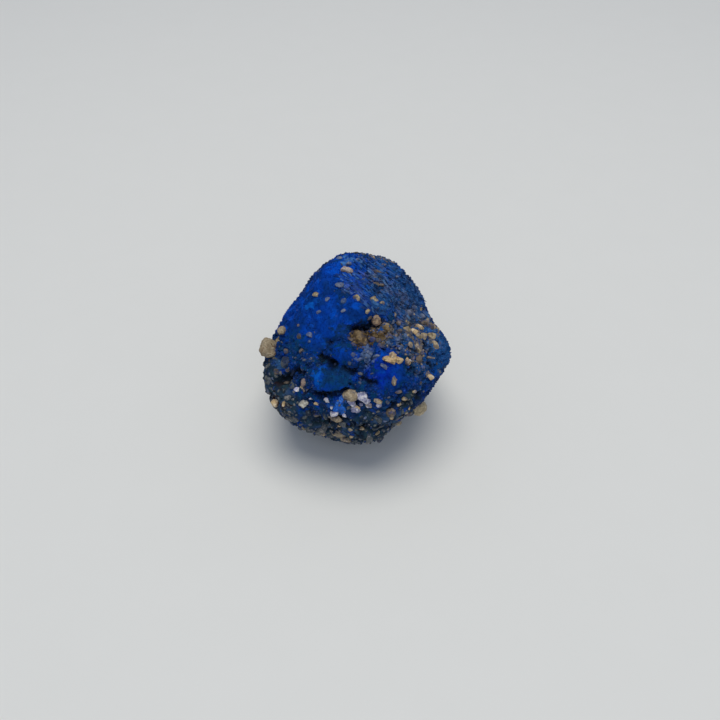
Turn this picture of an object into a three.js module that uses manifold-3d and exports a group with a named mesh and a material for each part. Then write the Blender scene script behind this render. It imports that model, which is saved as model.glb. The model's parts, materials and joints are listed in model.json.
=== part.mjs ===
// Azurite nodule: a rounded, slightly angular lump of intergrown azurite, 24 mm across, which grew in
// sandstone and holds sand grains, quartz grains and a little sandstone in its skin. It lies free on a flat.
// Millimetres and degrees, +Z up. The front of the nodule looks along -Y and its right side is +X.
import * as THREE from "three";
import { mergeVertices } from "three/addons/utils/BufferGeometryUtils.js";
import Module from "manifold-3d";

// ---- Driving dimensions ----
const noduleDetail = 11; // subdivisions of the icosahedron that the nodule is drawn on
const grainDetail = 1; // and of a grain's
const edgeSharpness = 13; // how crisply the nodule's broad faces meet: higher is sharper
const restDepth = 10.7; // from the nodule's middle down to the flat it rests on
const seatGap = 0.3; // clearance round a grain in its seat
const lumpHeight = 0.45; // height of the low lumps all over the nodule
const grainWander = 0.1; // how far a grain's corners wander, as a share of its size
const grainRounding = 1.2; // how far a grain's squared-up corners are drawn back in

// A direction is written [bearing, rise]: bearing turns from +X towards +Y, rise is above the horizon.

// Broad faces of the nodule: which way each one looks, and how far out from the middle it lies.
const broadFaces = [
  { name: "crown, back", looks: [86, 45], reach: 12.3 },
  { name: "crown, top", looks: [-60, 80], reach: 12.2 },
  { name: "right shoulder", looks: [24, 22], reach: 9.5 },
  { name: "right flank", looks: [-23, -21], reach: 10.4 },
  { name: "low right", looks: [-37, -31], reach: 10.0 },
  { name: "low front", looks: [-90, -45], reach: 12.2 },
  { name: "low left", looks: [-131, -37], reach: 12.3 },
  { name: "left flank", looks: [-174, -6], reach: 11.6 },
  { name: "left shoulder", looks: [154, 23], reach: 9.5 },
  { name: "left brow", looks: [143, 31], reach: 10.9 },
  { name: "front left", looks: [-128, 42], reach: 11.2 },
  { name: "front right", looks: [-48, 40], reach: 11.0 },
  { name: "front low", looks: [-95, 4], reach: 12.2 },
  { name: "back", looks: [92, -8], reach: 11.4 },
  { name: "back right", looks: [42, -28], reach: 11.4 },
  { name: "back left", looks: [140, -30], reach: 11.4 },
  { name: "underside", looks: [0, -90], reach: 11.4 },
];

// Swells (height above zero) and hollows (below zero). One with two ends runs as a ridge or a furrow.
// Spread is the angle, seen from the middle, over which it dies away.
const relief = [
  { name: "central hollow", from: [-89, 55], spread: 9, height: -1.6 },
  { name: "furrow left of the hollow", from: [-118, 41], to: [-109, 33], spread: 6, height: -0.7 },
  { name: "furrow under the hollow", from: [-109, 33], to: [-94, 30], spread: 6, height: -0.8 },
  { name: "swell between hollow and furrow", from: [-104, 41], spread: 7, height: 0.3 },
  { name: "low left lump", from: [-107, 25], spread: 10, height: 0.7 },
  { name: "step under the low left lump", from: [-112, 14], to: [-100, 17], spread: 5, height: -0.4 },
  { name: "blue facet lump", from: [-69, 29], spread: 12, height: 0.5 },
  { name: "right knob", from: [-24, 18], to: [-2, 0], spread: 12, height: 0.7 },
  { name: "notch above the right knob", from: [-16, 37], to: [14, 14], spread: 6, height: -0.2 },
  { name: "seat of the left quartz", from: [-172, 8], spread: 9, height: -0.5 },
  { name: "hollow above the left quartz", from: [164, 15], spread: 10, height: -0.5 },
  { name: "left brow swell", from: [132, 36], spread: 12, height: 0.75 },
  { name: "right shoulder hollow", from: [32, 28], spread: 10, height: -0.2 },
  { name: "crown hollow", from: [74, 46], spread: 10, height: -0.3 },
  { name: "back knob", from: [62, 34], spread: 14, height: 0.6 },
  { name: "back furrow", from: [76, 26], to: [122, -14], spread: 9, height: -0.8 },
  { name: "back swell", from: [72, -2], spread: 15, height: 0.6 },
  { name: "back hollow", from: [112, 30], spread: 12, height: -0.7 },
  { name: "left back swell", from: [158, -8], spread: 14, height: 0.6 },
  { name: "low back swell", from: [60, -40], spread: 15, height: 0.6 },
  { name: "low back hollow", from: [116, -42], spread: 13, height: -0.6 },
  { name: "right back furrow", from: [8, -4], to: [34, -26], spread: 8, height: -0.6 },
  { name: "low front swell", from: [-78, -20], spread: 12, height: 0.3 },
  { name: "low left hollow", from: [-148, -22], spread: 12, height: -0.3 },
];

// Waves that raise the low lumps: how many run round the nodule along X, Y and Z, and where each starts.
const lumpWaves = [
  { waves: [5.1, 2.3, -3.7], start: 0.4 },
  { waves: [-2.9, 6.2, 1.8], start: 1.9 },
  { waves: [3.4, -4.8, 5.6], start: 3.1 },
  { waves: [7.9, 3.1, 4.4], start: 5.0 },
  { waves: [-4.2, 7.3, -6.8], start: 2.2 },
  { waves: [9.6, -8.1, 3.9], start: 0.9 },
  { waves: [4.7, 10.3, -7.2], start: 4.1 },
];

// Grains set in the nodule's skin, by what they are. Size is [along, across, deep]; proud is how far the
// grain stands out of the skin; turn swings its length round the skin's outward direction, from level.
const grains = {
  quartz: [
    { name: "left_quartz_grain", at: [-158, 20], size: [3.5, 2.9, 3.1], proud: 1.65, turn: 20 },
    { name: "left_small_quartz_grain", at: [-158, 33], size: [1.7, 1.5, 1.8], proud: 0.9, turn: 0 },
    { name: "low_right_quartz_grain", at: [-43, -18], size: [2.6, 2.9, 3.2], proud: 2.2, turn: 60 },
    { name: "low_right_small_grain", at: [-60, -24], size: [1.5, 1.4, 1.6], proud: 1.0, turn: 0 },
    { name: "low_right_grey_grain", at: [-67, 23], size: [1.2, 1.7, 1.4], proud: 0.4, turn: -20 },
    { name: "front_flat_grain", at: [-103, 1], size: [2.7, 1.2, 1.5], proud: 0.5, turn: -10 },
    { name: "rim_slab_grain", at: [-102, -17], size: [3.0, 1.3, 1.6], proud: 0.5, turn: 0 },
  ],
  sand: [
    { name: "crest_sand_grain", at: [168, 84], size: [2.4, 1.1, 1.2], proud: 0.4, turn: 84 },
    { name: "brow_sand_grain", at: [-68, 59], size: [1.5, 2.1, 1.6], proud: 0.5, turn: 15 },
    { name: "right_face_sand_grain", at: [-64, 36], size: [2.2, 1.4, 1.6], proud: 0.5, turn: 5 },
    { name: "right_face_small_grain", at: [-53, 29], size: [1.1, 1.5, 1.4], proud: 0.4, turn: 10 },
    { name: "right_flank_sand_grain", at: [-43, 16], size: [1.2, 1.4, 1.3], proud: 0.4, turn: 0 },
    { name: "front_quartz_grain", at: [-94, 17], size: [2.6, 2.0, 2.2], proud: 0.7, turn: 25 },
    { name: "left_front_pink_grain", at: [-123, 18], size: [1.2, 1.5, 1.4], proud: 0.55, turn: 0 },
    { name: "left_front_cream_grain", at: [-121, 6], size: [1.4, 2.2, 1.6], proud: 0.6, turn: -35 },
    { name: "left_low_sand_grain", at: [-138, -2], size: [1.5, 1.3, 1.4], proud: 0.5, turn: 0 },
  ],
  sandstone: [
    { name: "hollow_sandstone", at: [-87, 51], size: [3.6, 2.5, 1.9], proud: 0.55, turn: -56 },
    { name: "beside_hollow_sandstone", at: [-64, 51], size: [2.0, 1.7, 1.6], proud: 0.4, turn: 0 },
  ],
};

// ---- Materials ----
const azurite = new THREE.MeshStandardMaterial({ color: 0x12418c, roughness: 0.75, metalness: 0 });
const stones = {
  quartz: new THREE.MeshStandardMaterial({ color: 0xb5aa93, roughness: 0.35, metalness: 0 }),
  sand: new THREE.MeshStandardMaterial({ color: 0xb39a78, roughness: 0.7, metalness: 0 }),
  sandstone: new THREE.MeshStandardMaterial({ color: 0x806237, roughness: 0.9, metalness: 0 }),
};

// ---- Solids: joined and cut with manifold ----
const wasm = await Module();
wasm.setup();

function toSolid(geometry) {
  const vertProperties = Float32Array.from(geometry.attributes.position.array);
  const triVerts = Uint32Array.from(geometry.index.array);
  return new wasm.Manifold(new wasm.Mesh({ numProp: 3, vertProperties, triVerts }));
}

function toGeometry(solid) {
  const mesh = solid.getMesh();
  const geometry = new THREE.BufferGeometry();
  geometry.setAttribute("position", new THREE.BufferAttribute(mesh.vertProperties, 3));
  geometry.setIndex(new THREE.BufferAttribute(mesh.triVerts, 1));
  return geometry;
}

// A ball of even triangles with shared corners.
function evenBall(detail) {
  const ball = new THREE.IcosahedronGeometry(1, detail);
  ball.deleteAttribute("normal");
  ball.deleteAttribute("uv");
  return mergeVertices(ball, 1e-4);
}

// ---- The nodule's form ----
function direction([bearing, rise]) {
  const b = THREE.MathUtils.degToRad(bearing);
  const r = THREE.MathUtils.degToRad(rise);
  return new THREE.Vector3(Math.cos(r) * Math.cos(b), Math.cos(r) * Math.sin(b), Math.sin(r));
}

const facing = broadFaces.map((face) => ({ normal: direction(face.looks), reach: face.reach }));
const swells = relief.map((swell) => ({
  line: new THREE.Line3(direction(swell.from), direction(swell.to ?? swell.from)),
  spread: THREE.MathUtils.degToRad(swell.spread),
  height: swell.height,
}));
const ripples = lumpWaves.map(({ waves, start }) => ({ along: new THREE.Vector3(...waves), start }));

// Distance from the nodule's middle to its skin along a unit vector: a rounded many-faced block, then the
// swells and hollows, then the low lumps.
function reachOf(outward) {
  let crowding = 0;
  for (const { normal, reach } of facing) {
    crowding += Math.max(0, outward.dot(normal) / reach) ** edgeSharpness;
  }
  let reach = crowding ** (-1 / edgeSharpness);
  const nearest = new THREE.Vector3();
  for (const { line, spread, height } of swells) {
    if (line.distance() > 0) line.closestPointToPoint(outward, true, nearest);
    else nearest.copy(line.start);
    reach += height * Math.exp(-((outward.angleTo(nearest) / spread) ** 2));
  }
  for (const { along, start } of ripples) {
    reach += ((2 * lumpHeight) / ripples.length) * Math.sin(outward.dot(along) + start);
  }
  return reach;
}

// Point on the skin in a direction, and the way the skin faces there.
function skinPoint(outward) {
  return outward.clone().multiplyScalar(reachOf(outward));
}

function skinNormal(outward) {
  const step = 0.05;
  const side = new THREE.Vector3(0, 0, 1).cross(outward).normalize();
  const up = outward.clone().cross(side);
  const ahead = (along) => skinPoint(outward.clone().addScaledVector(along, step).normalize());
  const behind = (along) => skinPoint(outward.clone().addScaledVector(along, -step).normalize());
  const run = ahead(side).sub(behind(side));
  const climb = ahead(up).sub(behind(up));
  return run.cross(climb).normalize();
}

function noduleBody() {
  const body = evenBall(noduleDetail);
  const place = body.attributes.position;
  const outward = new THREE.Vector3();
  for (let i = 0; i < place.count; i++) {
    const point = skinPoint(outward.fromBufferAttribute(place, i).normalize());
    place.setXYZ(i, point.x, point.y, Math.max(point.z, -restDepth));
  }
  return toSolid(body);
}

// ---- Grains ----
// An angular, uneven lump with rounded corners; order makes each grain's shape its own.
function grainBody(size, order, clearance) {
  const body = evenBall(grainDetail);
  const place = body.attributes.position;
  const corner = new THREE.Vector3();
  for (let i = 0; i < place.count; i++) {
    corner.fromBufferAttribute(place, i);
    const squareness = Math.max(Math.abs(corner.x), Math.abs(corner.y), Math.abs(corner.z)) ** -0.5;
    const wander = Math.sin(corner.x * 2.7 + order * 2.1) + Math.sin(corner.y * 3.1 - corner.z * 2.3 + order);
    corner.multiplyScalar((squareness / grainRounding) * (1 + (grainWander / 2) * wander));
    place.setXYZ(i, ...size.map((side, axis) => corner.getComponent(axis) * (side / 2 + clearance)));
  }
  return body;
}

function setGrain({ at, size, proud, turn }, order, clearance) {
  const outward = direction(at);
  const face = skinNormal(outward);
  const level = new THREE.Vector3(0, 0, 1).cross(face).normalize();
  const frame = new THREE.Matrix4().makeBasis(level, face.clone().cross(level), face);
  const body = grainBody(size, order, clearance);
  body.rotateZ(THREE.MathUtils.degToRad(turn));
  body.applyMatrix4(frame);
  const seat = skinPoint(outward).addScaledVector(face, proud - size[2] / 2);
  body.translate(seat.x, seat.y, seat.z);
  return body;
}

// ---- The specimen ----
const specimen = new THREE.Group();
const named = Object.entries(grains).flatMap(([stone, list]) => list.map((grain) => ({ ...grain, stone })));
let nodule = noduleBody();
named.forEach((grain, order) => {
  nodule = nodule.subtract(toSolid(setGrain(grain, order, seatGap)));
  const mesh = new THREE.Mesh(setGrain(grain, order, 0), stones[grain.stone]);
  mesh.name = grain.name;
  specimen.add(mesh);
});
const noduleMesh = new THREE.Mesh(toGeometry(nodule), azurite);
noduleMesh.name = "azurite_nodule";
specimen.add(noduleMesh);

// The origin is under the middle of the whole specimen, on the flat it rests on.
const box = new THREE.Box3().setFromObject(specimen);
const middle = box.getCenter(new THREE.Vector3());
specimen.position.set(-middle.x, -middle.y, -box.min.z);

export default specimen;
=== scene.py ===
import json
import math

import bmesh
import bpy
import numpy as np
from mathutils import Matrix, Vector, bvhtree, kdtree, noise


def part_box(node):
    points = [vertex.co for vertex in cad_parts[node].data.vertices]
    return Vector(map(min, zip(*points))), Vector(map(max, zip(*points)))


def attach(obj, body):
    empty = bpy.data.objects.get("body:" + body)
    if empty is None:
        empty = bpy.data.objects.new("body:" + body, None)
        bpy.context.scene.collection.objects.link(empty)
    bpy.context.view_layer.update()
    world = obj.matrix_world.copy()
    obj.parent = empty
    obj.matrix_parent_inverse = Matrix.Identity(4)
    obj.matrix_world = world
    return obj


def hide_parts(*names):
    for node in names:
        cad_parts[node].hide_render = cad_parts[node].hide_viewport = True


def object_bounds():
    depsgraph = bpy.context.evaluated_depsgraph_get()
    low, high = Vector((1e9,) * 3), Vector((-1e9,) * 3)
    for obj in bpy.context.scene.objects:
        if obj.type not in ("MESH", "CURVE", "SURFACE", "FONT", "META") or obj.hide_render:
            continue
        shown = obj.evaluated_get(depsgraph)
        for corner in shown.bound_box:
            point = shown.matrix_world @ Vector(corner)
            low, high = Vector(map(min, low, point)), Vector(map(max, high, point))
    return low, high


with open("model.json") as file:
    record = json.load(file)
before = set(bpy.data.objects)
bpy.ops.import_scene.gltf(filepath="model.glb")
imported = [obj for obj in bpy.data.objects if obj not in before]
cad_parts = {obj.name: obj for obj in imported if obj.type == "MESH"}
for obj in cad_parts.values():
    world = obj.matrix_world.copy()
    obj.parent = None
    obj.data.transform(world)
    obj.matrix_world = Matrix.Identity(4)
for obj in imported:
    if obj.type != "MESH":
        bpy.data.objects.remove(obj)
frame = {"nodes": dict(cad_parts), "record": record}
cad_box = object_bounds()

# ---- The azurite body ----
# Thousands of azurite crystals grown together into one rounded lump, in sandstone that has since fallen
# away. This skin is the blue ground that the free crystals and the sand grains stand on. It is one piece,
# drawn inside the nodule's solid by the height of the crystals that stand on it.
mm = 0.001
tip_room = 0.16 * mm  # from the solid's face in to the skin
lowest_skin = 0.12 * mm  # above the floor, so that grains and crystals have room under the nodule
highest_detail = 0.15 * mm  # above the solid's own shape
sheet_cells = 120  # squares along each of the six sheets that are wrapped round the nodule
rng = np.random.default_rng(52)
body_low, body_high = (np.array(corner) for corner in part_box("azurite_nodule"))
middle = (body_low + body_high) / 2

# Zones of the skin, each [bearing, rise, half-width] in degrees seen from the nodule's middle. Bearing
# turns from the right side, +X, towards the back, +Y, and rise is the angle above the horizon.
velvet_zones = [[-150, 62, 33], [-168, 42, 20], [-67, 25, 12], [-103, 36, 8], [-107, 20, 10], [95, 20, 16]]
sandy_zones = [[-34, 37, 17], [-58, 46, 9], [-40, 22, 9], [30, 10, 18], [165, -10, 14], [60, 52, 12]]
rim_zones = [[-90, -35, 38], [-145, -12, 24], [-30, -40, 34], [90, -50, 42], [180, -45, 34], [0, -90, 45]]
rim_zones += [[-122, -16, 14], [-75, -22, 15], [-106, -20, 11], [-68, -3, 7], [-59, 4, 5.5]]

# Clefts between the lumps, from one heading to another: half-width and depth in millimetres.
clefts = [
    [(-91, 53), (-64, 56), 0.75, 1.5],  # under the brow, above the sandstone
    [(-118, 31), (-109, 28), 0.6, 0.8],
    [(-109, 28), (-93, 26), 0.5, 0.8],
    [(-99, 46), (-114, 42), 0.5, 0.5],
    [(-114, 9), (-97, 14), 0.6, 1.3],  # under the low left lump
    [(-139, 6), (-131, 16), 0.9, 1.3],
    [(-92, 26), (-79, 18), 0.5, 0.5],
    [(-65, 2), (-49, 3), 0.5, 0.7],
    [(-109, -10), (-98, -4), 0.5, 0.7],
    [(-98, -4), (-83, -12), 0.5, 0.9],
    [(-143, 0), (-138, -6), 0.4, 0.6],
    [(-31, 27), (-37, 12), 0.4, 0.5],  # between the sandy face and the right knob
]


def heading(bearing, rise):
    b, r = math.radians(bearing), math.radians(rise)
    return np.array((math.cos(r) * math.cos(b), math.cos(r) * math.sin(b), math.sin(r)))


def unit(vectors):
    return vectors / np.linalg.norm(vectors, axis=-1, keepdims=True)


def smooth_step(value):
    held = np.clip(value, 0, 1)
    return held * held * (3 - 2 * held)


def within(places, zones):
    """How far each place is inside any of the zones: 1 well inside, 0 outside."""
    outward = unit(places - middle)
    share = np.zeros(len(places))
    for bearing, rise, half_width in zones:
        angle = np.degrees(np.arccos(np.clip(outward @ heading(bearing, rise), -1, 1)))
        share = np.maximum(share, smooth_step((1.2 * half_width - angle) / (0.4 * half_width)))
    return share


def wrapped_sheets(cells):
    """Even squares round a ball: unit directions, squares, and each square's corners on a flat map."""
    warp = np.tan(np.linspace(-1, 1, cells + 1) * math.pi / 4)
    across, up = (grid.ravel()[:, None] for grid in np.meshgrid(warp, warp, indexing="ij"))
    first = (np.arange(cells)[:, None] * (cells + 1) + np.arange(cells)).ravel()
    square = np.stack([first, first + cells + 1, first + cells + 2, first + 1], 1)
    flat = np.stack(np.meshgrid(*[np.linspace(0.02, 0.98, cells + 1)] * 2, indexing="ij"), -1).reshape(-1, 2)
    points, squares, corners = [], [], []
    for sheet in range(6):
        outward = np.zeros(3)
        outward[sheet // 2] = 1 - 2 * (sheet % 2)
        upward = np.array((0, 1.0, 0)) if sheet > 3 else np.array((0, 0, 1.0))
        points.append(unit(outward + across * np.cross(upward, outward) + up * upward))
        squares.append(square + sheet * len(flat))
        corners.append(((flat + (sheet % 3, sheet // 3)) / (3, 2))[square])
    points = np.concatenate(points)
    merged, place = np.unique(points.round(6), axis=0, return_inverse=True)
    return unit(merged), place.ravel()[np.concatenate(squares)], np.concatenate(corners)


def relaxed(values, rounds, only=True):
    """Each value drawn to the mean of its neighbours, again and again, where only is true."""
    for _ in range(rounds):
        around = np.bincount(links[:, 0], values[links[:, 1]], len(values)) / linked
        values = np.where(only, around, values)
    return values


def lumps(places, size, octaves, shift=0.0):
    """Uneven waves from about -1 to 1, with lumps of that size."""
    move = Vector((shift, 0.7 * shift, -0.4 * shift))
    return np.array([noise.fractal(Vector(p / size) + move, 0.9, 2.1, octaves) for p in places])


def make_piece(name, points, face_groups, smooth):
    """A mesh object from points and from arrays of faces, one array for each number of corners."""
    mesh = bpy.data.meshes.new(name)
    corners = np.concatenate([faces.ravel() for faces in face_groups])
    sides = np.concatenate([np.full(len(faces), faces.shape[1]) for faces in face_groups])
    mesh.vertices.add(len(points))
    mesh.vertices.foreach_set("co", np.ascontiguousarray(points, np.float32).ravel())
    mesh.loops.add(len(corners))
    mesh.loops.foreach_set("vertex_index", corners.astype(np.int32))
    mesh.polygons.add(len(sides))
    mesh.polygons.foreach_set("loop_start", (np.cumsum(sides) - sides).astype(np.int32))
    mesh.polygons.foreach_set("use_smooth", np.full(len(sides), smooth))
    mesh.update(calc_edges=True)
    piece = bpy.data.objects.new(name, mesh)
    bpy.context.scene.collection.objects.link(piece)
    return piece


directions, squares, flat_map = wrapped_sheets(sheet_cells)
links = np.concatenate([squares[:, [a, b]] for a, b in ((0, 1), (1, 2), (2, 3), (3, 0))])
links = np.concatenate([links, links[:, ::-1]])
linked = np.bincount(links[:, 0])

solid = frame["nodes"]["azurite_nodule"].data
solid_faces = [face.vertices for face in solid.polygons]
solid_tree = bvhtree.BVHTree.FromPolygons([corner.co for corner in solid.vertices], solid_faces)
outside = 30 * mm


def reach_along(direction):
    """How far from the middle the solid's face lies that way, found from outside."""
    return outside - solid_tree.ray_cast(Vector(middle + outside * direction), Vector(-direction))[3]


reach = np.array([reach_along(direction) for direction in directions])

# The seats of the big grains are filled over, so that the skin runs up to each grain.
big_grains = sorted(name for name in frame["nodes"] if name != "azurite_nodule")
grain_boxes = {name: [np.array(corner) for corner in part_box(name)] for name in big_grains}
seat_edge = 0.55 * mm
seat = np.zeros(len(reach), bool)
skin = middle + directions * reach[:, None]
for grain_low, grain_high in grain_boxes.values():
    gap = np.linalg.norm(skin - (grain_low + grain_high) / 2, axis=1)
    seat |= gap < np.linalg.norm(grain_high - grain_low) / 3 + seat_edge
reach = relaxed(reach, 500, seat)
reach = relaxed(reach, 22)  # everywhere, so that the solid's facets don't show
skin = middle + directions * reach[:, None]

velvet = within(skin, velvet_zones)
sandy = within(skin, sandy_zones)
rim = within(skin, rim_zones)

# Lumps and pits at three sizes, then flats at two: broad ones where a lump of crystals grew as one, with
# creases between them, and small ones where a single crystal's face covers more than its neighbours.
detail = 0.42 * mm * lumps(skin, 3.2 * mm, 3)
smoother_in_velvet = 1 - 0.6 * velvet
detail += 0.22 * mm * lumps(skin, 1.3 * mm, 3, 5.0) * smoother_in_velvet
detail += 0.06 * mm * lumps(skin, 0.5 * mm, 2, 9.0) * smoother_in_velvet


def struck_flats(count, slope, crease_width, crease_depth, most):
    """Flats that meet in creases: each skin point's height above the skin, at most that much either way."""
    flat_middles = skin[rng.choice(len(skin), count, replace=False)]
    tree = kdtree.KDTree(count)
    for i, place in enumerate(flat_middles):
        tree.insert(place, i)
    tree.balance()
    tilt = rng.normal(0, slope, (count, 3))
    nearest = [tree.find_n(place, 2) for place in skin]
    near = np.array([pair[0][1] for pair in nearest])
    margin = np.array([pair[1][2] - pair[0][2] for pair in nearest])
    height = np.clip(np.einsum("ij,ij->i", skin - flat_middles[near], tilt[near]), -most, most)
    return height - crease_depth * smooth_step(1 - margin / crease_width)


broad = struck_flats(count=380, slope=0.22, crease_width=0.55 * mm, crease_depth=0.34 * mm, most=0.35 * mm)
broken_up = np.clip(0.6 + 0.8 * lumps(skin, 2.4 * mm, 2, 7.0), 0, 1)
detail += broad * broken_up * (1 - 0.7 * velvet)
small = struck_flats(count=3200, slope=0.36, crease_width=0.22 * mm, crease_depth=0.13 * mm, most=0.2 * mm)
detail += small * (1 - 0.8 * velvet)
for start, end, half_width, depth in clefts:
    a, b = heading(*start), heading(*end)
    along = np.clip((directions - a) @ (b - a) / ((b - a) @ (b - a)), 0, 1)[:, None]
    off = np.linalg.norm(directions - unit(a + along * (b - a)), axis=1) * reach
    ragged = 1 + 0.5 * lumps(skin, 1.0 * mm, 2, 3.0)
    detail -= depth * mm * np.exp(-((off / (half_width * mm)) ** 2)) * ragged
detail -= 0.9 * mm * within(skin, [[-86, 50, 8]])  # the hollow that the sandstone has partly fallen out of
detail[seat] += (0.26 * mm * lumps(skin, 0.8 * mm, 2, 6.0) - 0.10 * mm)[seat]
detail -= relaxed(detail, 250)  # what is left is only the detail, since the solid already has the broad shape
detail = np.minimum(detail, highest_detail)

# Painted shade for the low places: from 0 on the open skin to 1 in the clefts. It darkens the colour there,
# as shade falls in the clefts.
height = reach + detail
dirt = smooth_step((relaxed(height, 70) - height) / (0.38 * mm) - 0.10)


def keep_painted_shade(piece, share):
    """Keeps each point's share of painted shade with the piece, for its finish."""
    piece.data.attributes.new("dirt", "FLOAT", "POINT").data.foreach_set("value", share.astype(np.float32))


detail -= 0.22 * mm * within(skin, [[60, 78, 20], [90, 46, 24]])  # the crown and the upper back lie lower
detail -= 0.14 * mm * within(skin, [[168, 84, 8]])  # and round the long grain near the top
skin = middle + directions * (reach - tip_room + detail)[:, None]
skin[:, 2] = np.maximum(skin[:, 2], lowest_skin)
body = make_piece("azurite_body", skin, [squares], True)
bake_map = body.data.uv_layers.new(name="OFBake")
bake_map.data.foreach_set("uv", flat_map.astype(np.float32).ravel())
keep_painted_shade(body, dirt)
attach(body, "root")
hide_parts("azurite_nodule")


class Tint:
    """One output of a material's nodes. Sums written with it add Math nodes; node() adds any other node."""

    def __init__(self, tree, socket=None):
        self.tree, self.socket = tree, socket

    def node(self, kind, settings, sockets, output=0):
        made = self.tree.nodes.new(kind)
        for name, value in settings.items():
            if name == "stops":
                self.set_stops(made.color_ramp.elements, value)
            else:
                setattr(made, name, value)
        for name, value in sockets.items():
            if isinstance(value, Tint):
                self.tree.links.new(value.socket, made.inputs[name])
            else:
                made.inputs[name].default_value = value
        return Tint(self.tree, made.outputs[output]) if made.outputs else None

    def set_stops(self, stops, wanted):
        """A ramp's stops, each its place from 0 to 1 and its colour."""
        for _ in wanted[2:]:
            stops.new(0.5)
        for stop, (where, colour) in zip(stops, wanted):
            stop.position, stop.color = where, (*colour, 1)

    def math(self, operation, first, second=0.0):
        return self.node("ShaderNodeMath", {"operation": operation}, {0: first, 1: second})

    def __add__(self, other):
        return self.math("ADD", self, other)

    def __sub__(self, other):
        return self.math("SUBTRACT", self, other)

    def __rsub__(self, other):
        return self.math("SUBTRACT", other, self)

    def __mul__(self, other):
        return self.math("MULTIPLY", self, other)

    __radd__, __rmul__ = __add__, __mul__

    def step(self, low, high):
        """0 below low and 1 above high, with a smooth climb between; high may be the smaller."""
        ends = {"Value": self, "From Min": low, "From Max": high}
        return self.node("ShaderNodeMapRange", {"interpolation_type": "SMOOTHSTEP"}, ends)

    def blend(self, first, second):
        """The first colour where this mask is 0 and the second where it is 1."""
        first, second = (c if isinstance(c, Tint) else (*c, 1.0) for c in (first, second))
        return self.node("ShaderNodeMix", {"data_type": "RGBA"}, {0: self, 6: first, 7: second}, 2)


def new_finish(name):
    """A bare material's tree, and the place on the specimen in millimetres from the nodule's middle."""
    finish = bpy.data.materials.new(name)
    finish.use_nodes = True
    finish.node_tree.nodes.clear()
    start = Tint(finish.node_tree)
    place = start.node("ShaderNodeTexCoord", {}, {}, "Object")
    place = start.node("ShaderNodeVectorMath", {"operation": "SUBTRACT"}, {0: place, 1: tuple(middle)})
    place = start.node("ShaderNodeVectorMath", {"operation": "SCALE"}, {0: place, "Scale": 1 / mm})
    return finish, start, place


def clouds(place, size, detail, roughness=0.5):
    """Soft noise from 0 to 1 with patches of that size in millimetres."""
    settings = {"noise_dimensions": "3D"}
    sockets = {"Vector": place, "Scale": 1 / size, "Detail": detail, "Roughness": roughness}
    return place.node("ShaderNodeTexNoise", settings, sockets, "Fac")


def in_zones(place, zones, ragged):
    """The same zones as within(), as a mask for a finish, with edges broken up by the ragged noise."""
    outward = place.node("ShaderNodeVectorMath", {"operation": "NORMALIZE"}, {0: place})
    mask = 0.0
    for bearing, rise, half_width in zones:
        ends = {0: outward, 1: tuple(heading(bearing, rise))}
        facing = place.node("ShaderNodeVectorMath", {"operation": "DOT_PRODUCT"}, ends, "Value")
        angle = facing.math("ARCCOSINE", facing) + (ragged - 0.5) * 0.45
        share = angle.step(math.radians(1.2 * half_width), math.radians(0.8 * half_width))
        mask = share if mask == 0.0 else share.math("MAXIMUM", share, mask)
    return mask


# Blues of the azurite, from the bright nap of the velvet zones to the near black of the shaded rim, and the
# tones of the dust and rust on it, the near black of the painted shade in the clefts, and a painted glint.
azurite_blue = {
    "velvet": (0.0, 0.045, 0.34),
    "bright": (0.0, 0.075, 0.50),
    "vivid": (0.0, 0.026, 0.36),
    "cobalt": (0.001, 0.072, 0.30),
    "cyan": (0.001, 0.095, 0.45),
    "deep": (0.001, 0.033, 0.195),
    "navy": (0.003, 0.020, 0.078),
    "teal": (0.002, 0.044, 0.125),
    "frost": (0.13, 0.19, 0.32),
    "lath glint": (0.085, 0.22, 0.44),
    "ice": (0.02, 0.15, 0.60),
    "pale": (0.06, 0.19, 0.44),
    "spark": (0.09, 0.29, 0.88),
    "rust": (0.030, 0.011, 0.006),
    "gap": (0.004, 0.005, 0.008),
    "haze": (0.010, 0.078, 0.25),
    "dusk": (0.003, 0.030, 0.105),
    "slate": (0.04, 0.08, 0.14),
    "sand dust": (0.21, 0.17, 0.115),
    # Near black of the painted shade in the clefts and at the feet of grains.
    "dirt": (0.004, 0.007, 0.011),
    "rim": (0.010, 0.020, 0.028),
    "moss": (0.024, 0.050, 0.058),
}

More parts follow.
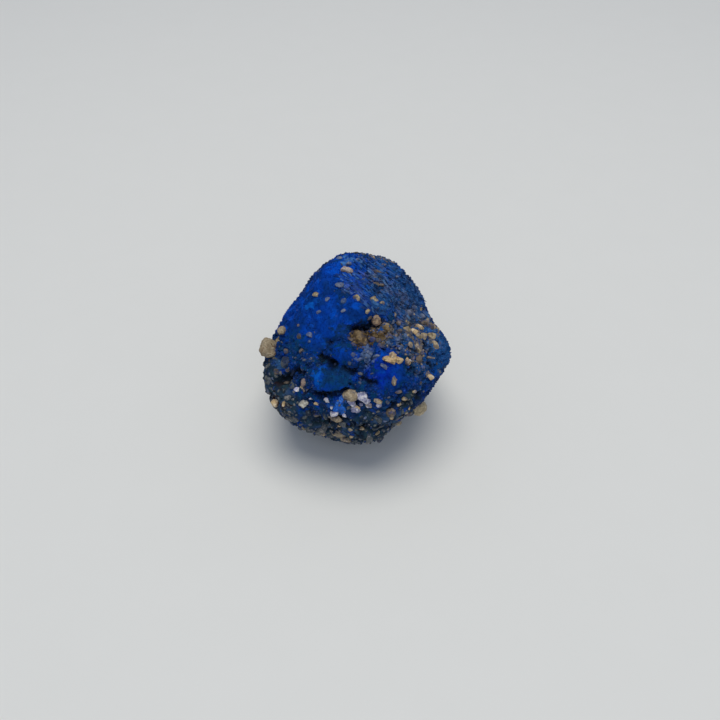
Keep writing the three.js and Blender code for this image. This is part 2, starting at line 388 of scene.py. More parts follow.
# Small patches with a colour of their own, besides the painted shade and the painted highlight noted below:
# the colour, and [bearing, rise, half-width] as above.
patches_of_colour = [
    ("bright", [[100, 80, 14], [60, 74, 9], [-40, 58, 7]]),
    ("vivid", [[-73, 25, 7]]),  # the facet at the lower right
    ("teal", [[-104, 22, 9], [-131, 21, 3.5], [-140, 30, 8]]),
    # The cyan patch at [-116, 21] is a painted highlight on the low left lump; the other cyan patches are the
    # azurite's own colour.
    ("cyan", [[-116, 21, 3], [-152, 57, 3.5], [-20, 60, 5], [-58, 75, 4], [-10, 70, 3.5], [-40, 60, 3.5]]),
    ("ice", [[-100, 5, 4.6]]),
    ("pale", [[-26, 22, 5], [-22, 14, 4.5], [-18, 28, 4], [-34, 14, 3.5], [-15, 36, 4]]),
    ("pale", [[113, 75, 3], [91, 75, 3], [46, 69, 3.5], [28, 64, 3.5], [-145, 12, 4]]),
    ("cobalt", [[-20, 60, 15], [35, 70, 12], [-35, 14, 9], [-43, 54, 5], [-22, 63, 6]]),
    ("haze", [[-22, 12, 13], [-15, 52, 13], [-46, 68, 8]]),
    ("frost", [[-84, 36, 4.5], [-51, 39, 2.5]]),
    # Painted shade: the rim's dark tone laid in the shadow under the brow above the sandstone, and in the
    # dark gaps at the left and round the low left lump.
    ("rim", [[-96, 55, 3], [-82, 57, 3], [-135, 11, 4.5], [-105, 11, 3.5], [-110, 28, 2.5]]),
    # Painted shade in the dark gap at the left side of the right knob.
    ("navy", [[-32, 19, 2.0], [-29, 28, 1.8]]),
    (
        "dusk",
        [[-115, 40, 4.5], [-102, 42, 3.5], [-105, 51, 4.0], [-109, 24, 3.5], [-99, 26, 3.0], [-123, 74, 3.5]],
    ),
    ("moss", [[-121, 29, 3.0]]),
    ("haze", [[-48, 8, 4.0], [-39, 16, 3.0]]),
]
# Patches that show on top of the rim's own tone, among them a painted glint and painted shade in the gaps.
patches_on_rim = [
    ("ice", [[-100, 5, 4.6]]),
    # A painted glint on the bright blue patch in the front cluster.
    ("spark", [[-100, 8, 2.2]]),
    ("rust", [[-139, 1, 2.8], [-133, -5, 2.4], [-119, -2, 2.0], [-141, -4, 2.0]]),
    # Painted shade: near black laid in the dark gaps between the lumps and grains of the rim.
    (
        "gap",
        [[-109, -9, 2.6], [-86, -14, 2.0], [-121, 9, 1.8], [-76, -9, 2.4], [-65, -7, 2.6], [-97, -9, 1.8]],
    ),
]
dusty_band_zones = [[11, 82, 5], [-13, 75, 5], [-21, 68, 6], [-24, 58, 7], [-20, 48, 8]]


def azurite_colour(place, ragged):
    """The azurite's colour from zone to zone, before any one crystal's own shade."""
    colour = clouds(place, 2.2, 4).step(0.40, 0.62).blend(azurite_blue["navy"], azurite_blue["deep"])
    colour = clouds(place, 0.9, 3).step(0.50, 0.66).blend(colour, azurite_blue["teal"])
    colour = clouds(place, 1.3, 2).step(0.55, 0.68).blend(colour, azurite_blue["velvet"])
    dusty = clouds(place, 1.3, 3).step(0.44, 0.56).blend(azurite_blue["slate"], azurite_blue["haze"])
    dusty = clouds(place, 0.8, 3).step(0.52, 0.62).blend(dusty, azurite_blue["frost"])
    dusty = clouds(place, 1.0, 3).step(0.49, 0.57).blend(dusty, azurite_blue["sand dust"])
    colour = (in_zones(place, sandy_zones, ragged) * 0.8).blend(colour, dusty)
    dusty_band = in_zones(place, dusty_band_zones, ragged)
    velvet = in_zones(place, velvet_zones, ragged)
    nap = clouds(place, 1.7, 3).step(0.40, 0.62).blend(azurite_blue["deep"], azurite_blue["velvet"])
    nap = clouds(place, 1.2, 3).step(0.52, 0.68).blend(nap, azurite_blue["bright"])
    colour = (velvet * 0.9).blend(colour, nap)
    uneven = clouds(place, 0.75, 3).step(0.36, 0.58) * 0.6 + 0.3
    for tone, zones in patches_of_colour:
        colour = (in_zones(place, zones, ragged) * uneven).blend(colour, azurite_blue[tone])
    colour = (dusty_band * 0.30).blend(colour, dusty)
    rim_tone = clouds(place, 1.6, 3).step(0.42, 0.6).blend(azurite_blue["rim"], azurite_blue["moss"])
    rim_tone = clouds(place, 1.4, 2).step(0.53, 0.64).blend(rim_tone, azurite_blue["slate"])
    rim_tone = clouds(place, 2.2, 2).step(0.60, 0.72).blend(rim_tone, azurite_blue["deep"])
    colour = (in_zones(place, rim_zones, ragged) * 0.85).blend(colour, rim_tone)
    for tone, zones in patches_on_rim:
        colour = (in_zones(place, zones, ragged) * uneven).blend(colour, azurite_blue[tone])
    return colour


def finish_azurite(name, roughness, shine, own_shade, glint="bright"):
    """Azurite in its zones' colours. Own shade is how far one crystal may differ, up to the glint's tone."""
    finish, start, place = new_finish(name)
    ragged = clouds(place, 0.9, 3)
    colour = azurite_colour(place, ragged)
    if own_shade:
        shade = start.node("ShaderNodeNewGeometry", {}, {}, "Random Per Island")
        colour = (clouds(place, 0.45, 2).step(0.52, 0.36) * own_shade).blend(colour, azurite_blue["navy"])
        colour = (shade.step(0.35, 0.0) * own_shade * 0.6).blend(colour, azurite_blue["navy"])
        colour = (shade.step(0.70, 1.0) * own_shade * 0.6).blend(colour, azurite_blue[glint])
    # Painted shade: darker in the clefts, from the point attribute.
    shade_paint = start.node("ShaderNodeAttribute", {"attribute_name": "dirt"}, {}, "Fac")
    colour = (shade_paint * 0.85).blend(colour, azurite_blue["dirt"])
    grit = clouds(place, 0.10, 3, 0.6)
    normal = start.node("ShaderNodeBump", {}, {"Strength": 0.5, "Distance": 0.03 * mm, "Height": grit})
    sockets = {
        "Base Color": colour,
        "Roughness": grit * 0.2 + roughness,
        "Specular IOR Level": shine,
        "Normal": normal,
    }
    shader = start.node("ShaderNodeBsdfPrincipled", {}, sockets)
    start.node("ShaderNodeOutputMaterial", {}, {"Surface": shader})
    return finish


body.data.materials.append(finish_azurite("azurite_ground", roughness=0.65, shine=0.06, own_shade=0.0))


# ---- The big grains ----
# Coarse grains of the sand that the azurite grew in, still held in their seats. Most are quartz or worn
# sand, frosted and stained a little, and two are crumbs of the brown sandstone, bound by its own cement.
skin_tree = kdtree.KDTree(len(skin))
for i, place in enumerate(skin):
    skin_tree.insert(place, i)
skin_tree.balance()


def ball(rounds):
    """An even ball of radius 1 made of triangles: its points and faces."""
    shape = bmesh.new()
    bmesh.ops.create_icosphere(shape, subdivisions=rounds, radius=1.0)
    points = unit(np.array([corner.co for corner in shape.verts]))
    faces = np.array([[corner.index for corner in face.verts] for face in shape.faces])
    shape.free()
    return points, faces


def cell_map(points, faces):
    """Each face's corners on a flat cell twice as wide as high: upper half at left, lower at right."""
    out = unit(points - points.mean(0))[faces]
    under = out.mean(1)[:, 2] < 0
    away = np.arccos(np.clip(out[..., 2] * np.where(under, -1, 1)[:, None], -1, 1)) / math.radians(155)
    flat = unit(out[..., :2] + 1e-9) * np.minimum(away, 1)[..., None] * 0.47 + 0.5
    flat[..., 0] = (flat[..., 0] + under[:, None]) / 2
    return flat.reshape(-1, 2)


def lay_map(piece, flat):
    layer = piece.data.uv_layers.new(name="OFBake")
    layer.data.foreach_set("uv", flat.astype(np.float32).ravel())


def cast_grain(name, flats, wear_size, wear_depth):
    """A grain drawn on its own solid, with flats broken off it, then worn and pitted."""
    grain_solid = frame["nodes"][name].data
    faces_of_solid = [face.vertices for face in grain_solid.polygons]
    tree = bvhtree.BVHTree.FromPolygons([corner.co for corner in grain_solid.vertices], faces_of_solid)
    grain_middle = sum(grain_boxes[name]) / 2
    out, faces = ball(5)
    far = 5 * mm
    depth = np.array([far - tree.ray_cast(Vector(grain_middle + far * d), Vector(-d))[3] for d in out])
    for struck in unit(rng.normal(size=(flats, 3))):
        toward = np.maximum(out @ struck, 0.05)
        depth = np.minimum(depth, rng.uniform(0.62, 0.96) * (depth * toward).max() / toward)
    places = grain_middle + out * depth[:, None]
    pits = np.clip(lumps(places, wear_size, 3), -1, 1)
    dents = np.clip(lumps(places, 0.9 * mm, 2, 2.0), -1, 1)
    depth += wear_depth * (0.6 * pits + 0.4 * dents - 1)
    places = grain_middle + out * depth[:, None]
    grain = make_piece(name.replace("_grain", "") + "_piece", places, [faces], True)
    lay_map(grain, cell_map(out, faces))
    # Painted shade on the low part of the grain, where it meets the skin.
    below = [skin_tree.find(place)[1] for place in places]
    proud = np.linalg.norm(places - middle, axis=1) - np.linalg.norm(skin[below] - middle, axis=1)
    keep_painted_shade(grain, smooth_step(0.7 - proud / (0.45 * mm)))
    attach(grain, "root")
    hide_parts(name)
    return grain


amber_spots = [[-159, 12, 4.5]]  # on the big grain of the left flank


def finish_grain(name, tones, stain, clearness, roughness, speckle):
    """A grain whose tone changes from grain to grain and patch to patch, with blue rubbed into it."""
    finish, start, place = new_finish(name)
    pick = start.node("ShaderNodeNewGeometry", {}, {}, "Random Per Island")
    patches = clouds(place, 0.55, 4)
    stops = [((i + 0.5) / len(tones), tone) for i, tone in enumerate(tones)]
    where = pick * 0.55 + patches.step(0.3, 0.7) * 0.85 - 0.2
    colour = start.node("ShaderNodeValToRGB", {"stops": stops}, {"Fac": where}, "Color")
    specks = clouds(place, speckle, 3, 0.65)
    colour = (specks.step(0.60, 0.36) * 0.5).blend(colour, tones[0])
    stained = clouds(place, 0.6, 3).step(0.66 - 0.3 * stain, 0.84 - 0.3 * stain)
    colour = (stained * stain).blend(colour, azurite_blue["deep"])
    colour = (in_zones(place, amber_spots, patches) * 0.7).blend(colour, (0.16, 0.09, 0.04))
    # Painted shade: darker at the grain's foot and in the clefts, from the point attribute.
    shade_paint = start.node("ShaderNodeAttribute", {"attribute_name": "dirt"}, {}, "Fac")
    colour = (shade_paint * 0.8).blend(colour, azurite_blue["navy"])
    normal = start.node("ShaderNodeBump", {}, {"Strength": 0.7, "Distance": 0.06 * mm, "Height": specks})
    sockets = {
        "Base Color": colour,
        "Roughness": specks * 0.25 + roughness,
        "Specular IOR Level": 0.3,
        "IOR": 1.54,
        "Transmission Weight": clearness,
        "Normal": normal,
    }
    shader = start.node("ShaderNodeBsdfPrincipled", {}, sockets)
    start.node("ShaderNodeOutputMaterial", {}, {"Surface": shader})
    return finish


grain_finishes = {
    "quartz": finish_grain(
        "frosted_quartz",
        [(0.19, 0.135, 0.075), (0.37, 0.28, 0.165), (0.50, 0.41, 0.275), (0.32, 0.25, 0.16)],
        stain=0.20,
        clearness=0.12,
        roughness=0.35,
        speckle=0.20,
    ),
    "sand": finish_grain(
        "worn_sand",
        [(0.12, 0.09, 0.06), (0.33, 0.245, 0.14), (0.25, 0.175, 0.14), (0.40, 0.335, 0.235)],
        stain=0.60,
        clearness=0.0,
        roughness=0.50,
        speckle=0.16,
    ),
    "sandstone": finish_grain(
        "brown_sandstone",
        [(0.022, 0.012, 0.005), (0.075, 0.046, 0.016), (0.15, 0.095, 0.036), (0.25, 0.175, 0.09)],
        stain=0.08,
        clearness=0.0,
        roughness=0.70,
        speckle=0.14,
    ),
    "pink sand": finish_grain(
        "pink_sand",
        [(0.12, 0.085, 0.07), (0.34, 0.21, 0.14), (0.26, 0.19, 0.18), (0.42, 0.31, 0.22)],
        stain=0.35,
        clearness=0.0,
        roughness=0.50,
        speckle=0.16,
    ),
    "orange sand": finish_grain(
        "orange_sand",
        [(0.065, 0.038, 0.022), (0.29, 0.165, 0.08), (0.16, 0.11, 0.09), (0.36, 0.25, 0.15)],
        stain=0.25,
        clearness=0.0,
        roughness=0.50,
        speckle=0.18,
    ),
    "bright sand": finish_grain(
        "bright_sand",
        [(0.30, 0.20, 0.09), (0.66, 0.49, 0.26), (0.52, 0.35, 0.20), (0.76, 0.64, 0.44)],
        stain=0.15,
        clearness=0.0,
        roughness=0.45,
        speckle=0.16,
    ),
    "peach sand": finish_grain(
        "peach_sand",
        [(0.17, 0.13, 0.12), (0.40, 0.30, 0.23), (0.32, 0.25, 0.22), (0.50, 0.43, 0.38)],
        stain=0.15,
        clearness=0.0,
        roughness=0.45,
        speckle=0.16,
    ),
    "pale sand": finish_grain(
        "pale_sand",
        [(0.30, 0.27, 0.18), (0.64, 0.59, 0.46), (0.80, 0.77, 0.66), (0.48, 0.43, 0.36)],
        stain=0.15,
        clearness=0.0,
        roughness=0.45,
        speckle=0.16,
    ),
    "lit quartz": finish_grain(
        "clearer_quartz",
        [(0.24, 0.175, 0.09), (0.50, 0.39, 0.22), (0.66, 0.55, 0.36), (0.42, 0.34, 0.21)],
        stain=0.10,
        clearness=0.12,
        roughness=0.35,
        speckle=0.20,
    ),
}
own_finish = {
    "low_right_quartz_grain": "lit quartz",
    "brow_sand_grain": "orange sand",
    "right_face_sand_grain": "bright sand",
    "left_front_pink_grain": "pink sand",
    "left_front_cream_grain": "pale sand",
    "left_low_sand_grain": "bright sand",
    "front_quartz_grain": "quartz",
    "right_face_small_grain": "pink sand",
    "crest_sand_grain": "peach sand",
}
stone_of = {part["node"]: part["material_slot"] for part in frame["record"]["subparts"]}
for name in big_grains:
    stone = stone_of[name]
    if stone == "sandstone":
        grain = cast_grain(name, flats=0, wear_size=0.3 * mm, wear_depth=0.18 * mm)
    else:
        grain = cast_grain(name, flats=7, wear_size=0.45 * mm, wear_depth=0.12 * mm)
    grain.data.materials.append(grain_finishes[own_finish.get(name, stone)])


# ---- The small sand grains ----
# Finer sand of the same sandstone, a fifth of a millimetre to two millimetres, frozen into the skin as the
# azurite grew round it. Cream, tan and pale lilac grains are scattered over the top and flanks, and dark,
# dirty ones are packed together round the lower rim.
squares_of_skin = skin[squares]
square_normals = np.cross(
    squares_of_skin[:, 2] - squares_of_skin[:, 0], squares_of_skin[:, 3] - squares_of_skin[:, 1]
)
square_areas = np.linalg.norm(square_normals, axis=1) / 2
skin_normals = np.zeros_like(skin)
for corner in range(4):
    np.add.at(skin_normals, squares[:, corner], square_normals)
skin_normals = unit(skin_normals)


def spots(count, liking):
    """Random places on the skin, with its normals and painted shade; liking is each skin point's relative
    chance.
    """
    chance = square_areas * liking[squares].mean(1)
    picked = rng.choice(len(squares), count, p=chance / chance.sum())
    u, v = rng.random((2, count, 1))
    shares = np.stack([(1 - u) * (1 - v), u * (1 - v), u * v, (1 - u) * v], 1)
    normals = unit((skin_normals[squares[picked]] * shares).sum(1))
    return (skin[squares[picked]] * shares).sum(1), normals, (dirt[squares[picked]] * shares[..., 0]).sum(1)


def frames_on(normals, lean):
    """Three axes for each copy. The last leans from the skin's normal by that many degrees, any way round."""
    sideways = unit(np.cross(normals, rng.normal(size=normals.shape)))
    angle = np.radians(lean)[:, None]
    out = normals * np.cos(angle) + sideways * np.sin(angle)
    across = unit(np.cross(out, rng.normal(size=out.shape)))
    return np.stack([across, np.cross(out, across), out], 2)


inside_box = 0.02 * mm  # how far every small piece stays inside the nodule's box


def joined_copies(name, shapes, picks, places, frames, sizes, painted_shade_share, shade_the_foot=False):
    """One piece from many small copies of a few shapes, each copy with its own cell on the flat map."""
    columns = math.ceil(math.sqrt(len(places) / 2))
    rows = math.ceil(len(places) / columns)
    points, face_groups, maps, shade_paint, first, cell = [], [], [], [], 0, 0
    for i, (shape_points, shape_faces) in enumerate(shapes):
        held = np.nonzero(picks == i)[0]
        turned = (frames[held] * sizes[held][:, None, :]) @ shape_points.T
        points.append((places[held][:, None] + turned.transpose(0, 2, 1)).reshape(-1, 3))
        # Painted shade at the foot of each copy, where it meets the skin.
        foot = smooth_step(0.45 - 1.8 * shape_points[:, 2]) * 0.7 * shade_the_foot
        shade_paint.append(np.maximum(painted_shade_share[held][:, None], foot).ravel())
        firsts = first + np.arange(len(held)) * len(shape_points)
        cells = cell + np.arange(len(held))
        corner = np.stack([cells % columns / columns, cells // columns / rows], 1)
        for faces in shape_faces:
            face_groups.append((firsts[:, None, None] + faces).reshape(-1, faces.shape[1]))
            flat = cell_map(shape_points, faces) / (columns, rows)
            maps.append((corner[:, None] + flat).reshape(-1, 2))
        first += len(held) * len(shape_points)
        cell += len(held)
    points = np.concatenate(points)
    box_low, box_high = (np.array(side) for side in cad_box)
    points = np.clip(points, box_low + inside_box, box_high - inside_box)
    piece = make_piece(name, points, face_groups, False)
    lay_map(piece, np.concatenate(maps))
    keep_painted_shade(piece, np.concatenate(shade_paint))
    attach(piece, "root")
    return piece


def broken_ball(rounds, flats):
    """A ball of radius about 1 with flats struck off it, as a sand grain has."""
    points, faces = ball(rounds)
    struck = unit(rng.normal(size=(flats, 3)))
    depth = rng.uniform(0.45, 0.95, flats) / np.maximum(points @ struck.T, 0.12)
    points = points * np.minimum(depth.min(1), 1.0)[:, None]
    return points * (1 + 0.10 * lumps(points, 0.55, 2, rng.uniform(0, 30)))[:, None], [faces]


shape_count = 6  # shapes of the small grains, and as many finer ones for the larger grains
small_shapes = [broken_ball(rounds=2, flats=7) for _ in range(shape_count)]
fine_shapes = [broken_ball(rounds=3, flats=8) for _ in range(shape_count)]
# Where the grains so far stand, each a place and a size across.
taken = [[*(low + high) / 2, np.linalg.norm(high - low) / 1.9] for low, high in grain_boxes.values()]
taken = np.array(taken)


def free_of_others(place, size, closeness):
    away = np.linalg.norm(taken[:, :3] - place, axis=1)
    return bool((away > closeness * (taken[:, 3] + size) / 2).all())


def sand_grains(name, placed, count, liking, size_range, closeness, finish):
    """Grains set at named headings, [bearing, rise, long, wide], and others strewn where liking allows."""
    global taken
    places, normals, sizes, painted_shade_share = [], [], [], []
    for bearing, rise, long, wide in placed:
        nearest_point = np.argmax(directions @ heading(bearing, rise))
        places.append(skin[nearest_point])
        normals.append(skin_normals[nearest_point])
        painted_shade_share.append(0.0)
        sizes.append((long * mm, wide * mm, 0.5 * (long + wide) * mm))
    for place, size in zip(places, sizes):
        taken = np.vstack([taken, [*place, max(size)]])
    strewn, strewn_normals, strewn_shade = spots(count, liking)
    low, high = size_range
    lengths = low + (high - low) * rng.random(count) ** 2.2
    for place, normal, share, length in zip(strewn, strewn_normals, strewn_shade, lengths * mm):
        if free_of_others(place, length, closeness):
            places.append(place)
            normals.append(normal)
            painted_shade_share.append(share)
            sizes.append(length * rng.uniform((0.8, 0.5, 0.5), (1.25, 0.95, 0.9)))
            taken = np.vstack([taken, [*place, length]])
    places, normals, sizes, painted_shade_share = np.array(places), np.array(normals), np.array(sizes), np.array(painted_shade_share)
    frames = frames_on(normals, rng.uniform(0, 35, len(places)))
    if placed:
        right = unit(np.cross((0, 1.0, 0.4), normals[: len(placed)]))
        frames[: len(placed), :, 0] = right
        frames[: len(placed), :, 1] = np.cross(normals[: len(placed)], right)
    longest = sizes.max(1)
    picks = rng.integers(0, shape_count, len(places)) + np.where(longest > 0.95 * mm, shape_count, 0)
    # The share of its thickness that each grain is sunk: more for a large one, little for a placed one.
    sunk = rng.uniform(0.05, 0.26, len(places)) + np.where(longest > 1.2 * mm, 0.14, 0.0)
    sunk[: len(placed)] = 0.08
    places = places - normals * (sunk * sizes.min(1))[:, None]
    grains = joined_copies(name, small_shapes + fine_shapes, picks, places, frames, sizes / 2, painted_shade_share, True)
    grains.data.materials.append(finish)


clumps = smooth_step(0.25 + 2.0 * lumps(skin, 1.8 * mm, 2, 11.0))
plain_skin = (1 - np.maximum(np.maximum(velvet, sandy), rim)) * clumps
sand_grains(
    "cream_sand_grains",
    placed=[
        [-156, 62, 0.9, 0.8], [-91, 72, 1.2, 0.9], [-58, 69, 1.2, 0.7], [-49, 66, 0.8, 0.6],
        [-61, 58, 1.0, 0.8], [-27, 30, 0.9, 1.2], [-38, 27, 0.9, 1.5], [-162, 21, 2.2, 1.7],
        [-56, 49, 0.9, 0.8], [-56, 44, 0.8, 0.7], [-42, 32, 0.9, 0.8], [-124, 9, 0.9, 1.0],
        [-75, 64, 0.9, 0.8], [-14, 23, 1.2, 0.9], [-83, 6, 1.0, 0.9], [-78, 8, 1.2, 0.9],
        [-97, -25, 1.7, 0.7], [-88, -13, 0.9, 0.5], [-79, -14, 0.8, 0.8], [-112, -25, 0.9, 0.7],
        [-82, 43, 0.8, 0.6], [-30, 33, 1.5, 0.9], [-24, 27, 1.4, 0.9], [-36, 41, 1.2, 0.8],
        [-12, 27, 1.3, 0.8], [-27, 22, 1.0, 1.4], [-63, 7, 0.8, 0.6], [-60, 2, 0.7, 0.5],
        [-66, 3, 0.6, 0.6], [-56, 8, 0.7, 0.5], [-62, -4, 0.7, 0.6], [-70, 1, 0.8, 0.6],
    ],
    count=260,
    liking=1.0 * sandy + 0.01 * plain_skin + 0.01 * rim,
    size_range=(0.40, 1.20),
    closeness=0.80,
    finish=finish_grain(
        "cream_sand",
        [(0.17, 0.13, 0.075), (0.36, 0.275, 0.15), (0.52, 0.42, 0.27), (0.26, 0.20, 0.155)],
        stain=0.55,
        clearness=0.0,
        roughness=0.50,
        speckle=0.14,
    ),
)
sand_grains(
    "bright_sand_grains",
    placed=[
        [-132, -3, 0.8, 0.7], [-90, 4, 0.9, 0.8], [-66, 31, 1.9, 1.4], [-60, 29, 1.3, 1.1],
        [-41, 9, 1.1, 0.9], [-114, 2, 0.7, 0.6], [-93, -17, 0.7, 0.6], [-88, -13, 0.6, 0.6],
        [-114, -29, 0.6, 0.6], [-51, 24, 0.8, 1.0], [-31, 37, 1.0, 0.8], [-25, 36, 1.0, 0.9],
        [-66, 3, 0.6, 0.6], [-71, -4, 0.7, 0.7], [-60, -2, 0.5, 0.5],
    ],
    count=1,
    liking=rim,
    size_range=(0.4, 0.5),
    closeness=0.90,
    finish=grain_finishes["bright sand"],
)
sand_grains(
    "pale_quartz_grains",
    placed=[
        [-140, 76, 1.1, 0.9], [-140, 65, 0.9, 0.7], [-114, 69, 0.9, 0.8], [-139, 56, 0.7, 0.6],
        [-110, 63, 0.7, 0.6], [-134, 41, 1.0, 0.8], [-71, 28, 1.0, 0.9], [-23, 48, 1.0, 0.8],
        [-14, 47, 0.8, 0.8], [-16, 40, 1.0, 0.8], [-49, 40, 0.9, 0.7], [-52, 34, 0.8, 0.7],
        [-80, 37, 1.0, 0.7], [-88, 34, 0.8, 0.6], [-75, 34, 0.9, 0.6], [118, 79, 0.9, 0.6],
        [89, 74, 0.8, 0.6], [122, 70, 0.9, 0.7], [9, 64, 0.8, 0.7], [-20, 55, 0.8, 0.6],
        [-131, 37, 0.5, 0.5],
    ],
    count=30,
    liking=rim,
    size_range=(0.5, 0.8),
    closeness=0.80,
    finish=finish_grain(
        "pale_quartz",
        [(0.05, 0.085, 0.17), (0.12, 0.15, 0.23), (0.22, 0.23, 0.29), (0.09, 0.13, 0.24)],
        stain=0.45,
        clearness=0.0,
        roughness=0.35,
        speckle=0.14,
    ),
)
sand_grains(
    "white_quartz_grains",
    placed=[
        [-112, 2, 1.1, 1.0], [-107, 7, 1.0, 0.9], [-103, 0, 1.3, 0.8], [-97, -1, 1.0, 0.7],
        [-88, 11, 1.5, 1.4], [-85, 9, 1.1, 1.0], [-88, -11, 0.8, 0.6], [-118, 4, 0.7, 0.6],
        [-91, 4, 1.2, 0.9], [-50, 23, 0.9, 0.9], [-127, 8, 0.8, 0.7], [-93, 8, 1.2, 0.9],
        [-104, 4, 0.7, 0.5], [-78, 6, 0.8, 0.7], [-88, 6, 0.6, 0.6], [-86, 12, 0.6, 0.5],
        [-92, 3, 0.7, 0.5], [-84, 5, 0.6, 0.5],
    ],
    count=1,
    liking=rim,
    size_range=(0.5, 0.6),
    closeness=0.90,
    finish=finish_grain(
        "white_quartz",
        [(0.20, 0.20, 0.32), (0.50, 0.49, 0.58), (0.80, 0.76, 0.70), (0.46, 0.46, 0.66)],
        stain=0.15,
        clearness=0.0,
        roughness=0.30,
        speckle=0.14,
    ),
)
sand_grains(
    "tan_sand_grains",
    placed=[
        [-141, 36, 0.9, 0.8], [-146, 22, 0.9, 0.8], [-134, 29, 0.8, 0.7], [-138, 14, 0.8, 0.7],
        [-145, 9, 0.9, 0.8], [-137, 5, 0.9, 0.7], [-148, 41, 0.5, 0.4], [31, 81, 1.6, 0.7],
        [24, 76, 1.0, 0.6], [-24, 77, 1.0, 0.7], [-24, 72, 0.9, 0.7], [-112, -24, 0.9, 0.7],
        [-43, 21, 0.9, 1.0], [-56, 43, 1.2, 0.8], [-97, 46, 1.0, 0.7], [-76, 46, 1.1, 0.8],
        [-92, 43, 0.9, 0.6], [-70, 44, 0.9, 0.7], [-50, 50, 1.0, 0.8], [-44, 44, 0.9, 0.8],
        [-18, 74, 0.8, 0.6], [40, 69, 0.8, 0.6], [-72, -1, 1.5, 1.2], [-68, -6, 1.3, 1.1],
        [-58, -12, 1.2, 1.0], [-66, 12, 0.9, 0.7], [-17, 31, 1.5, 1.0], [-19, 36, 1.0, 0.8],
        [-72, 60, 0.8, 0.9], [-67, 56, 0.8, 0.7],
    ],
    count=420,
    liking=1.0 * sandy + 0.02 * plain_skin + 0.01 * rim,
    size_range=(0.35, 1.15),
    closeness=0.80,
    finish=finish_grain(
        "tan_sand",
        [(0.06, 0.05, 0.045), (0.13, 0.10, 0.075), (0.20, 0.145, 0.095), (0.11, 0.105, 0.115)],
        stain=0.60,
        clearness=0.0,
        roughness=0.60,
        speckle=0.14,
    ),
)
sand_grains(
    "stained_sand_grains",
    placed=[],
    count=4200,
    liking=0.004 * velvet + 1.0 * sandy + 0.15 * plain_skin + 0.03 * rim,
    size_range=(0.22, 0.80),
    closeness=0.72,
    finish=finish_grain(
        "stained_sand",
        [
            (0.035, 0.055, 0.10), (0.10, 0.10, 0.10), (0.15, 0.14, 0.13), (0.07, 0.09, 0.15),
            (0.11, 0.13, 0.19),
        ],
        stain=0.50,
        clearness=0.0,
        roughness=0.50,
        speckle=0.14,
    ),
)
sand_grains(
    "sandstone_crumbs",
    placed=[
        [-95, 48, 1.2, 0.9], [-92, 44, 1.1, 0.8], [-84, 44, 1.3, 0.9], [-80, 49, 1.2, 0.9],
        [-76, 49, 1.0, 0.8], [-72, 48, 1.1, 0.8], [-58, 50, 1.0, 0.8], [-66, 45, 1.1, 0.8],
    ],
    count=420,
    liking=within(skin, [[-88, 48, 7], [-76, 48, 6], [-64, 49, 4]]),
    size_range=(0.3, 0.9),
    closeness=0.42,
    finish=grain_finishes["sandstone"],
)
sand_grains(
    "rim_sand_grains",
    placed=[
        [-128, -14, 2.0, 1.3], [-112, -18, 2.1, 1.2], [-84, -18, 2.2, 1.1], [-66, -14, 2.0, 1.3],
        [-52, -20, 1.8, 1.2],
    ],
    count=3800,
    liking=0.004 * plain_skin + 1.0 * rim,
    size_range=(0.50, 2.10),
    closeness=0.60,
    finish=finish_grain(
        "dirty_rim_sand",
        [
            (0.014, 0.018, 0.024), (0.07, 0.088, 0.09), (0.15, 0.155, 0.145), (0.035, 0.055, 0.08),
            (0.23, 0.215, 0.20),
        ],
        stain=0.35,
        clearness=0.0,
        roughness=0.60,
        speckle=0.16,
    ),
)


# ---- The azurite crystals ----
# Short wedge-topped prisms of azurite, a quarter to half a millimetre, standing all over the skin at every
# lean, each with its foot grown into the skin. The velvet zones carry much finer ones, like a nap.
def wedge_crystal(depth, taper, ridge, skew):
    """A prism on a foot one wide, with a roof-like top whose ridge runs across it; its height is one."""
    foot = np.array([[-0.5, -depth], [0.5, -depth], [0.5, depth], [-0.5, depth]])
    top = foot * taper + (skew, 0)
    points = np.zeros((10, 3))
    points[:4, :2], points[4:8, :2] = foot, top
    points[4:8, 2] = 0.68
    points[8:] = [[skew - ridge, 0.04, 1.0], [skew + ridge, -0.04, 0.96]]
    walls = [[0, 1, 5, 4], [1, 2, 6, 5], [2, 3, 7, 6], [3, 0, 4, 7], [4, 5, 9, 8], [6, 7, 8, 9], [3, 2, 1, 0]]
    return points, [np.array(walls), np.array([[5, 6, 9], [7, 4, 8]])]


crystal_shapes = [
    wedge_crystal(*form)
    for form in (
        [0.34, 0.86, 0.30, 0.06],
        [0.26, 0.92, 0.38, -0.05],
        [0.45, 0.80, 0.18, 0.0],
        [0.20, 0.88, 0.34, 0.10],
        [0.38, 0.70, 0.24, -0.08],
    )
]


def clear_of_grains(places, room):
    """Which of the places lie outside every sand grain."""
    clear = np.ones(len(places), bool)
    for *grain_place, size in taken:
        clear &= np.linalg.norm(places - grain_place, axis=1) > room * size / 2
    return clear


def crystals(name, count, liking, widths, heights, lean, sunk, finish):
    """Prisms strewn where liking allows: ranges of width and height in millimetres and of lean in degrees."""
    places, normals, painted_shade_share = spots(count, liking)
    clear = clear_of_grains(places, room=0.78)
    places, normals, painted_shade_share = places[clear], normals[clear], painted_shade_share[clear]
    count = len(places)
    width = rng.uniform(*widths, count) * mm
    height = rng.uniform(*heights, count) * mm
    frames = frames_on(normals, rng.uniform(*lean, count))
    sizes = np.stack([width, width * rng.uniform(0.8, 1.2, count), height], 1)
    places = places - normals * (sunk * height)[:, None]
    picks = rng.integers(0, len(crystal_shapes), count)
    piece = joined_copies(name, crystal_shapes, picks, places, frames, sizes, painted_shade_share)
    piece.data.materials.append(finish)


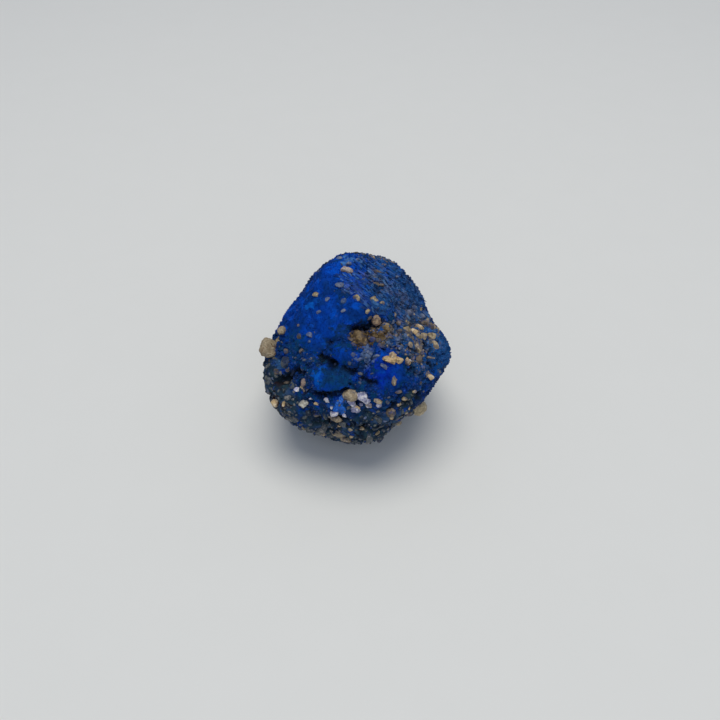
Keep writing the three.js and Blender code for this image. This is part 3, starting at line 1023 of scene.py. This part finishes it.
crystal_finish = finish_azurite("azurite_crystal", roughness=0.42, shine=0.14, own_shade=0.5)
facing_front = smooth_step(0.5 - (skin[:, 1] - middle[1]) / (2 * mm))
bare = np.clip(1 - 0.95 * velvet - 0.80 * rim, 0, 1)
crystals(
    "front_crystals",
    count=9000,
    liking=bare * facing_front,
    widths=(0.20, 0.46),
    heights=(0.26, 0.50),
    lean=(15, 75),
    sunk=0.55,
    finish=crystal_finish,
)
crystals(
    "back_crystals",
    count=8000,
    liking=bare * (1 - facing_front),
    widths=(0.22, 0.50),
    heights=(0.26, 0.50),
    lean=(15, 75),
    sunk=0.55,
    finish=crystal_finish,
)
crystals(
    "velvet_nap",
    count=7600,
    liking=0.03 + velvet,
    widths=(0.09, 0.17),
    heights=(0.16, 0.28),
    lean=(0, 40),
    sunk=0.62,
    finish=finish_azurite("azurite_nap", roughness=0.60, shine=0.06, own_shade=0.2),
)


# ---- The streaked crystals ----
# Across the upper right the azurite grew as thin laths that all lie one way, down and to the right, so that
# part looks combed. They are laid nearly flat in the skin, in paler and deeper bundles.
def laths(name, count, liking, run, finish):
    """Long prisms laid in the skin, all lying nearly along the run."""
    places, normals, painted_shade_share = spots(count, liking)
    clear = clear_of_grains(places, room=0.9)
    places, normals, painted_shade_share = places[clear], normals[clear], painted_shade_share[clear]
    count = len(places)
    along = np.array(run) + rng.normal(0, 0.12, (count, 3))
    along = unit(along - normals * np.einsum("ij,ij->i", along, normals)[:, None])
    along = unit(along + normals * rng.uniform(-0.10, 0.10, count)[:, None])
    across = unit(np.cross(along, normals))
    frames = np.stack([across, np.cross(along, across), along], 2)
    width = rng.uniform(0.10, 0.26, count) * mm
    length = rng.uniform(0.7, 1.8, count) * mm
    sizes = np.stack([width, width * 1.2, length], 1)
    places = places - along * (0.5 * length)[:, None] - normals * (0.01 * mm)
    picks = rng.integers(0, len(crystal_shapes), count)
    piece = joined_copies(name, crystal_shapes, picks, places, frames, sizes, painted_shade_share)
    piece.data.materials.append(finish)


streaked = within(skin, [[-35, 72, 15], [30, 76, 12], [-95, 84, 9], [-15, 55, 14]])
laths(
    "combed_laths",
    count=2600,
    liking=streaked,
    run=(0.80, -0.45, -0.40),
    finish=finish_azurite("azurite_lath", roughness=0.40, shine=0.22, own_shade=0.8, glint="lath glint"),
)


# ---- The stage ----
# The nodule lies on a plain pale sheet, under a broad soft lamp, with a weaker one in front and the room's
# own cool light all round. The camera looks down on it.
floor_half = 1.0
floor_corners = np.array([[-1, -1, 0], [1, -1, 0], [1, 1, 0], [-1, 1, 0]]) * floor_half
floor = make_piece("floor", floor_corners, [np.array([[0, 1, 2, 3]])], False)
paper, paper_start, paper_place = new_finish("pale_paper")
paper_tone = clouds(paper_place, 6.0, 3).blend((0.735, 0.735, 0.705), (0.75, 0.748, 0.72))
paper_shader = paper_start.node("ShaderNodeBsdfPrincipled", {}, {"Base Color": paper_tone, "Roughness": 0.85})
paper_start.node("ShaderNodeOutputMaterial", {}, {"Surface": paper_shader})
floor.data.materials.append(paper)

scene = bpy.context.scene
scene.view_settings.view_transform = "Standard"
world = bpy.data.worlds.new("soft_room")
world.use_nodes = True
world.node_tree.nodes["Background"].inputs["Color"].default_value = (0.67, 0.77, 1.0, 1)
world.node_tree.nodes["Background"].inputs["Strength"].default_value = 0.355
scene.world = world


def soft_disk(name, size, energy, tone, place):
    """A round lamp that faces the nodule."""
    lamp_data = bpy.data.lights.new(name, "AREA")
    lamp_data.shape = "DISK"
    lamp_data.size = size
    lamp_data.energy = energy
    lamp_data.color = tone
    lamp = bpy.data.objects.new(name, lamp_data)
    lamp.location = place
    lamp.rotation_euler = (Vector(middle) - lamp.location).to_track_quat("-Z", "Y").to_euler()
    scene.collection.objects.link(lamp)


soft_disk("front_fill", size=0.50, energy=0.46, tone=(0.90, 0.95, 1.0), place=(0.02, -0.42, 0.30))
soft_disk("overhead", size=0.38, energy=1.56, tone=(1.0, 0.965, 0.875), place=(0.002, 0.012, 0.50))

camera_rise = 45.0
camera_reach = 102 * mm
aim = Vector(middle) + Vector((0.31, -1.5, -1.5)) * mm
camera_data = bpy.data.cameras.new("camera")
camera_data.lens = 40.0
camera_data.sensor_width = 36.0
camera_data.clip_start = 1 * mm
camera_data.clip_end = 10.0
camera = bpy.data.objects.new("camera", camera_data)
camera.location = aim + Vector(heading(-90, camera_rise)) * camera_reach
camera.rotation_euler = (aim - camera.location).to_track_quat("-Z", "Y").to_euler()
scene.collection.objects.link(camera)
scene.camera = camera
